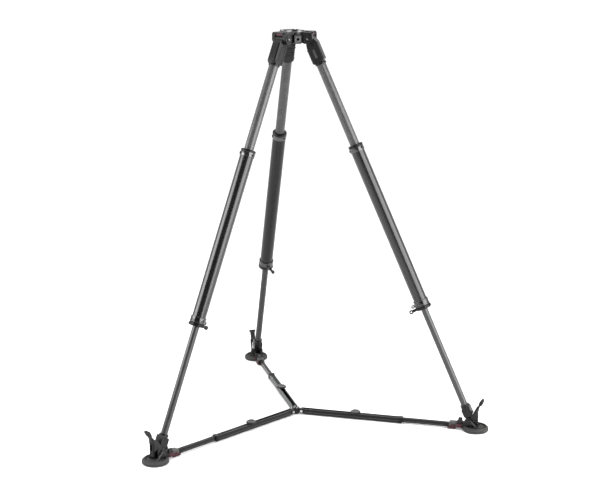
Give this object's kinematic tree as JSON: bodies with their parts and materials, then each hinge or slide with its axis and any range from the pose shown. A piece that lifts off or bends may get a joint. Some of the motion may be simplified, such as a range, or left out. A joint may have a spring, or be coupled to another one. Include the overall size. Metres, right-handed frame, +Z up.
{
  "type": "camera tripod",
  "caption": "Telescopic carbon-tube tripod with a half-ball bowl crown, round rubber shoes and a folding ground spreader; no head is fitted.",
  "frame": {"origin": "on the floor under the centre of the bowl, on the rubber pad of the spreader's hub", "axes": "+Z up; leg C points along +Y, leg A at 210 degrees and leg B at 330 degrees from +X"},
  "size_m": [1.285, 1.1255, 1.4505],
  "materials": {
    "casting": "satin powder coat",
    "carbon_upper": "clear-coated carbon weave",
    "carbon_middle": "gloss clear-coated carbon weave",
    "carbon_lower": "clear-coated carbon weave",
    "bush": "moulded",
    "collar": "fine moulded texture",
    "lock_ring": "fine moulded texture",
    "sole_rubber": "matte",
    "shoe_plastic": "moulded",
    "strap_rubber": "matte",
    "arm_black": "anodised",
    "arm_grey": "anodised",
    "arm_end_grey": "moulded",
    "red_accent": "satin",
    "knob_plastic": "moulded",
    "bowl_alloy": "machined, anodised",
    "steel": "machined"
  },
  "bodies": {
    "crown": {"crown_casting": "casting", "bowl_insert": "bowl_alloy", "hinge_bolts": "steel"},
    "hub": {"hub_body": "casting", "hub_pad": "sole_rubber", "hub_pins": "steel"},
    "angle_latch_a": {"angle_latch_a": "red_accent"},
    "leg_a_upper": {"leg_a_top_casting": "casting", "leg_a_upper_tube": "carbon_upper", "leg_a_guide_bush": "bush"},
    "leg_a_middle": {"leg_a_collar": "collar", "leg_a_middle_tube": "carbon_middle", "leg_a_lock_housing": "collar"},
    "leg_a_lock": {"leg_a_lock_ring": "lock_ring"},
    "leg_a_lower": {"leg_a_lower_tube": "carbon_lower", "leg_a_foot_casting": "casting"},
    "leg_a_shoe": {"leg_a_shoe_disc": "sole_rubber", "leg_a_shoe_block": "shoe_plastic"},
    "leg_a_strap": {"leg_a_foot_strap": "strap_rubber"},
    "leg_a_channel": {"leg_a_arm_channel": "arm_black"},
    "leg_a_rail": {"leg_a_arm_rail": "arm_grey", "leg_a_arm_end": "arm_end_grey"},
    "leg_a_catch": {"leg_a_arm_latch": "red_accent"},
    "leg_a_knob": {"leg_a_arm_knob": "knob_plastic"},
    "angle_latch_b": {"angle_latch_b": "red_accent"},
    "leg_b_upper": {"leg_b_top_casting": "casting", "leg_b_upper_tube": "carbon_upper", "leg_b_guide_bush": "bush"},
    "leg_b_middle": {"leg_b_collar": "collar", "leg_b_middle_tube": "carbon_middle", "leg_b_lock_housing": "collar"},
    "leg_b_lock": {"leg_b_lock_ring": "lock_ring"},
    "leg_b_lower": {"leg_b_lower_tube": "carbon_lower", "leg_b_foot_casting": "casting"},
    "leg_b_shoe": {"leg_b_shoe_disc": "sole_rubber", "leg_b_shoe_block": "shoe_plastic"},
    "leg_b_strap": {"leg_b_foot_strap": "strap_rubber"},
    "leg_b_channel": {"leg_b_arm_channel": "arm_black"},
    "leg_b_rail": {"leg_b_arm_rail": "arm_grey", "leg_b_arm_end": "arm_end_grey"},
    "leg_b_catch": {"leg_b_arm_latch": "red_accent"},
    "leg_b_knob": {"leg_b_arm_knob": "knob_plastic"},
    "angle_latch_c": {"angle_latch_c": "red_accent"},
    "leg_c_upper": {"leg_c_top_casting": "casting", "leg_c_upper_tube": "carbon_upper", "leg_c_guide_bush": "bush"},
    "leg_c_middle": {"leg_c_collar": "collar", "leg_c_middle_tube": "carbon_middle", "leg_c_lock_housing": "collar"},
    "leg_c_lock": {"leg_c_lock_ring": "lock_ring"},
    "leg_c_lower": {"leg_c_lower_tube": "carbon_lower", "leg_c_foot_casting": "casting"},
    "leg_c_shoe": {"leg_c_shoe_disc": "sole_rubber", "leg_c_shoe_block": "shoe_plastic"},
    "leg_c_strap": {"leg_c_foot_strap": "strap_rubber"},
    "leg_c_channel": {"leg_c_arm_channel": "arm_black"},
    "leg_c_rail": {"leg_c_arm_rail": "arm_grey", "leg_c_arm_end": "arm_end_grey"},
    "leg_c_catch": {"leg_c_arm_latch": "red_accent"},
    "leg_c_knob": {"leg_c_arm_knob": "knob_plastic"}
  },
  "joints": [
    {"name": "leg_a_spread", "type": "hinge", "parent": "crown", "child": "leg_a_upper", "pos_m": [-0.05196, -0.03, 1.425], "axis": [-0.5, 0.866, 0], "range_deg": [-19.75, 0]},
    {"name": "angle_latch_a_pull", "type": "slide", "parent": "crown", "child": "angle_latch_a", "axis": [-0.866, -0.5, 0], "range_m": [0, 0.006], "stiffness_N_per_m": 400},
    {"name": "leg_a_upper_slide", "type": "slide", "parent": "leg_a_upper", "child": "leg_a_middle", "axis": [0.3488, 0.2014, 0.9153], "range_m": [0, 0.3]},
    {"name": "leg_a_lower_slide", "type": "slide", "parent": "leg_a_middle", "child": "leg_a_lower", "axis": [0.3488, 0.2014, 0.9153], "range_m": [0, 0.385]},
    {"name": "leg_a_lock_turn", "type": "hinge", "parent": "leg_a_middle", "child": "leg_a_lock", "pos_m": [-0.42003, -0.2425, 0.45907], "axis": [0.3488, 0.2014, 0.9153], "range_deg": [0, 90]},
    {"name": "leg_a_shoe_tilt", "type": "hinge", "parent": "leg_a_lower", "child": "leg_a_shoe", "pos_m": [-0.58106, -0.33548, 0.03647], "axis": [-0.5, 0.866, 0], "range_deg": [-0.01, 19.76]},
    {"name": "leg_a_strap_swing", "type": "hinge", "parent": "leg_a_shoe", "child": "leg_a_strap", "pos_m": [-0.60429, -0.33734, 0.024], "axis": [0.5, -0.866, 0], "range_deg": [0, 70]},
    {"name": "leg_a_arm_fold", "type": "hinge", "parent": "hub", "child": "leg_a_channel", "pos_m": [-0.02079, -0.012, 0.014], "axis": [-0.5, 0.866, 0], "range_deg": [-81.43, 0]},
    {"name": "leg_a_arm_slide", "type": "slide", "parent": "leg_a_channel", "child": "leg_a_rail", "axis": [-0.866, -0.5, 0], "range_m": [-0.1501, 0]},
    {"name": "leg_a_catch_pull", "type": "slide", "parent": "leg_a_rail", "child": "leg_a_catch", "axis": [0.866, 0.5, 0], "range_m": [0, 0.006], "stiffness_N_per_m": 300},
    {"name": "leg_a_knob_turn", "type": "hinge", "parent": "leg_a_rail", "child": "leg_a_knob", "pos_m": [-0.20092, -0.116, 0.03], "axis": [0, 0, 1], "continuous": true},
    {"name": "leg_b_spread", "type": "hinge", "parent": "crown", "child": "leg_b_upper", "pos_m": [0.05196, -0.03, 1.425], "axis": [-0.5, -0.866, 0], "range_deg": [-19.76, 0]},
    {"name": "angle_latch_b_pull", "type": "slide", "parent": "crown", "child": "angle_latch_b", "axis": [0.866, -0.5, 0], "range_m": [0, 0.006], "stiffness_N_per_m": 400},
    {"name": "leg_b_upper_slide", "type": "slide", "parent": "leg_b_upper", "child": "leg_b_middle", "axis": [-0.3488, 0.2014, 0.9153], "range_m": [0, 0.3]},
    {"name": "leg_b_lower_slide", "type": "slide", "parent": "leg_b_middle", "child": "leg_b_lower", "axis": [-0.3488, 0.2014, 0.9153], "range_m": [0, 0.385]},
    {"name": "leg_b_lock_turn", "type": "hinge", "parent": "leg_b_middle", "child": "leg_b_lock", "pos_m": [0.42003, -0.2425, 0.45907], "axis": [-0.3488, 0.2014, 0.9153], "range_deg": [0, 90]},
    {"name": "leg_b_shoe_tilt", "type": "hinge", "parent": "leg_b_lower", "child": "leg_b_shoe", "pos_m": [0.58106, -0.33548, 0.03647], "axis": [-0.5, -0.866, 0], "range_deg": [-0.01, 19.76]},
    {"name": "leg_b_strap_swing", "type": "hinge", "parent": "leg_b_shoe", "child": "leg_b_strap", "pos_m": [0.59929, -0.346, 0.024], "axis": [0.5, 0.866, 0], "range_deg": [0, 70]},
    {"name": "leg_b_arm_fold", "type": "hinge", "parent": "hub", "child": "leg_b_channel", "pos_m": [0.02079, -0.012, 0.014], "axis": [-0.5, -0.866, 0], "range_deg": [-81.43, 0]},
    {"name": "leg_b_arm_slide", "type": "slide", "parent": "leg_b_channel", "child": "leg_b_rail", "axis": [0.866, -0.5, 0], "range_m": [-0.1501, 0]},
    {"name": "leg_b_catch_pull", "type": "slide", "parent": "leg_b_rail", "child": "leg_b_catch", "axis": [-0.866, 0.5, 0], "range_m": [0, 0.006], "stiffness_N_per_m": 300},
    {"name": "leg_b_knob_turn", "type": "hinge", "parent": "leg_b_rail", "child": "leg_b_knob", "pos_m": [0.20092, -0.116, 0.03], "axis": [0, 0, 1], "continuous": true},
    {"name": "leg_c_spread", "type": "hinge", "parent": "crown", "child": "leg_c_upper", "pos_m": [0, 0.06, 1.425], "axis": [1, 0, 0], "range_deg": [-19.76, 0]},
    {"name": "angle_latch_c_pull", "type": "slide", "parent": "crown", "child": "angle_latch_c", "axis": [0, 1, 0], "range_m": [0, 0.006], "stiffness_N_per_m": 400},
    {"name": "leg_c_upper_slide", "type": "slide", "parent": "leg_c_upper", "child": "leg_c_middle", "axis": [0, -0.4027, 0.9153], "range_m": [0, 0.3]},
    {"name": "leg_c_lower_slide", "type": "slide", "parent": "leg_c_middle", "child": "leg_c_lower", "axis": [0, -0.4027, 0.9153], "range_m": [0, 0.385]},
    {"name": "leg_c_lock_turn", "type": "hinge", "parent": "leg_c_middle", "child": "leg_c_lock", "pos_m": [0, 0.48501, 0.45907], "axis": [0, -0.4027, 0.9153], "range_deg": [0, 90]},
    {"name": "leg_c_shoe_tilt", "type": "hinge", "parent": "leg_c_lower", "child": "leg_c_shoe", "pos_m": [0, 0.67095, 0.03647], "axis": [1, 0, 0], "range_deg": [-0.01, 19.76]},
    {"name": "leg_c_strap_swing", "type": "hinge", "parent": "leg_c_shoe", "child": "leg_c_strap", "pos_m": [-0.01, 0.692, 0.024], "axis": [-1, 0, 0], "range_deg": [0, 70]},
    {"name": "leg_c_arm_fold", "type": "hinge", "parent": "hub", "child": "leg_c_channel", "pos_m": [0, 0.024, 0.014], "axis": [1, 0, 0], "range_deg": [-81.43, 0]},
    {"name": "leg_c_arm_slide", "type": "slide", "parent": "leg_c_channel", "child": "leg_c_rail", "axis": [0, 1, 0], "range_m": [-0.1501, 0]},
    {"name": "leg_c_catch_pull", "type": "slide", "parent": "leg_c_rail", "child": "leg_c_catch", "axis": [0, -1, 0], "range_m": [0, 0.006], "stiffness_N_per_m": 300},
    {"name": "leg_c_knob_turn", "type": "hinge", "parent": "leg_c_rail", "child": "leg_c_knob", "pos_m": [0, 0.232, 0.03], "axis": [0, 0, 1], "continuous": true},
    {"name": "hub_lift", "type": "slide", "parent": "crown", "child": "hub", "axis": [0, 0, 1], "range_m": [-0.0001, 0.3003]}
  ],
  "couplings": [
    {"joint": "leg_a_shoe_tilt", "follows": "leg_a_spread", "ratio": -1},
    {"joint": "leg_a_arm_fold", "follows": "leg_a_spread", "ratio": 4.1226},
    {"joint": "leg_a_arm_slide", "follows": "leg_a_spread", "m_per_rad": 0.43517},
    {"joint": "leg_b_spread", "follows": "leg_a_spread", "ratio": 1},
    {"joint": "leg_b_shoe_tilt", "follows": "leg_a_spread", "ratio": -1},
    {"joint": "leg_b_arm_fold", "follows": "leg_a_spread", "ratio": 4.1226},
    {"joint": "leg_b_arm_slide", "follows": "leg_a_spread", "m_per_rad": 0.43517},
    {"joint": "leg_c_spread", "follows": "leg_a_spread", "ratio": 1},
    {"joint": "leg_c_shoe_tilt", "follows": "leg_a_spread", "ratio": -1},
    {"joint": "leg_c_arm_fold", "follows": "leg_a_spread", "ratio": 4.1226},
    {"joint": "leg_c_arm_slide", "follows": "leg_a_spread", "m_per_rad": 0.43517},
    {"joint": "hub_lift", "follows": "leg_a_spread", "m_per_rad": -0.87064}
  ]
}
